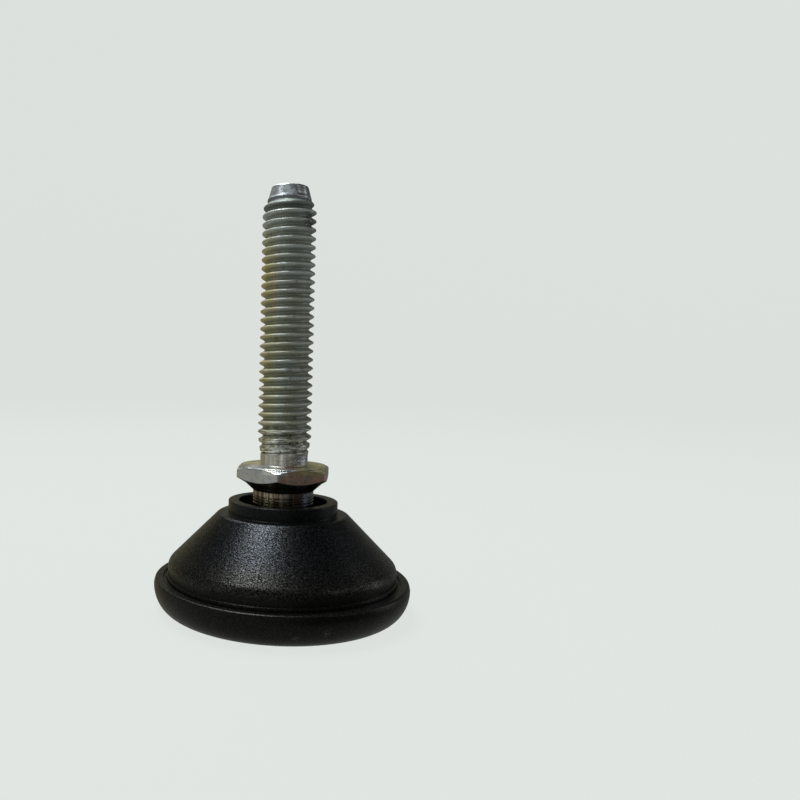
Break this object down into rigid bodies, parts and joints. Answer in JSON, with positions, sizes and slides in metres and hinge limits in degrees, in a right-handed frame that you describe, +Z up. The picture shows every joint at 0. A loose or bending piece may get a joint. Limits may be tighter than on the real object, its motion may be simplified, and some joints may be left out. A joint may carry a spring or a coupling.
{
  "type": "adjustable levelling foot",
  "caption": "Adjustable levelling foot: threaded steel stud with a hexagon, on a ball joint in a ribbed conical plastic base.",
  "frame": {"origin": "on the floor, under the middle of the base, on the spindle's axis", "axes": "+Z up along the spindle, with the foot standing; the ribs under the base lie between the X and Y axes"},
  "size_m": [0.0374, 0.0374, 0.0615],
  "materials": {
    "zinc_plated_steel": "bright zinc plate, satin",
    "black_plastic": "fine spark-textured"
  },
  "bodies": {
    "base": {"base": "black_plastic"},
    "spindle": {"spindle": "zinc_plated_steel"}
  },
  "joints": [
    {"name": "ball_tilt", "type": "hinge", "parent": "base", "child": "spindle", "pos_m": [0, 0, 0.0073], "axis": [0, 1, 0], "range_deg": [-12, 12]}
  ]
}
